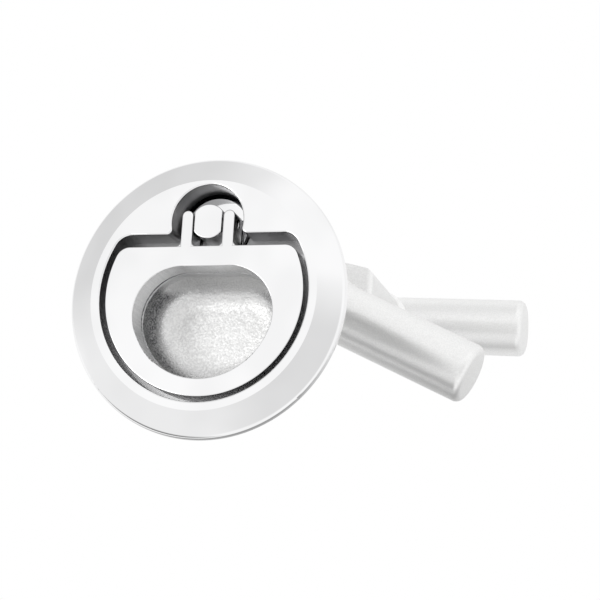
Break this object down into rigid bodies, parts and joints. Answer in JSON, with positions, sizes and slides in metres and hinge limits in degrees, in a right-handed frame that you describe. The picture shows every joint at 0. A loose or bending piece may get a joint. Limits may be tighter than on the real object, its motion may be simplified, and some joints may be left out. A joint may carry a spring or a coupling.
{
  "type": "flush lift handle",
  "caption": "Round flush lift handle: polished D-shaped handle hinged in a bezel with a finger cup, on a spindle that carries a straight locking arm and a cranked inside arm.",
  "frame": {"origin": "centre of the bezel's seat on the panel", "axes": "+Z out of the panel towards the user, +Y from the centre towards the spindle, +X to the side on which the arms stand"},
  "size_m": [0.1057, 0.076, 0.123],
  "materials": {
    "polished_steel": "mirror-polished stainless steel",
    "blasted_steel": "bead-blasted stainless steel",
    "plain_steel": "bright machined stainless steel",
    "rubber": "matt black rubber",
    "acetal": "natural white acetal"
  },
  "bodies": {
    "body": {"housing": "polished_steel", "flange_gasket": "rubber", "spindle": "polished_steel", "front_bush": "acetal", "front_seal": "rubber", "rear_seal": "rubber", "rear_bush": "acetal", "thrust_washer": "plain_steel", "disc_spring": "plain_steel", "retaining_ring": "plain_steel", "straight_arm": "blasted_steel", "straight_arm_screw": "plain_steel", "cranked_arm": "blasted_steel", "cranked_arm_screw": "plain_steel", "end_washer": "plain_steel", "lock_nut": "plain_steel", "nut_ring": "acetal"},
    "handle": {"lift_handle": "polished_steel", "hinge_pin": "polished_steel"}
  },
  "joints": [
    {"name": "handle_lift", "type": "hinge", "parent": "body", "child": "handle", "pos_m": [0, 0.02, 0.0008], "axis": [-1, 0, 0], "range_deg": [0, 115]}
  ]
}
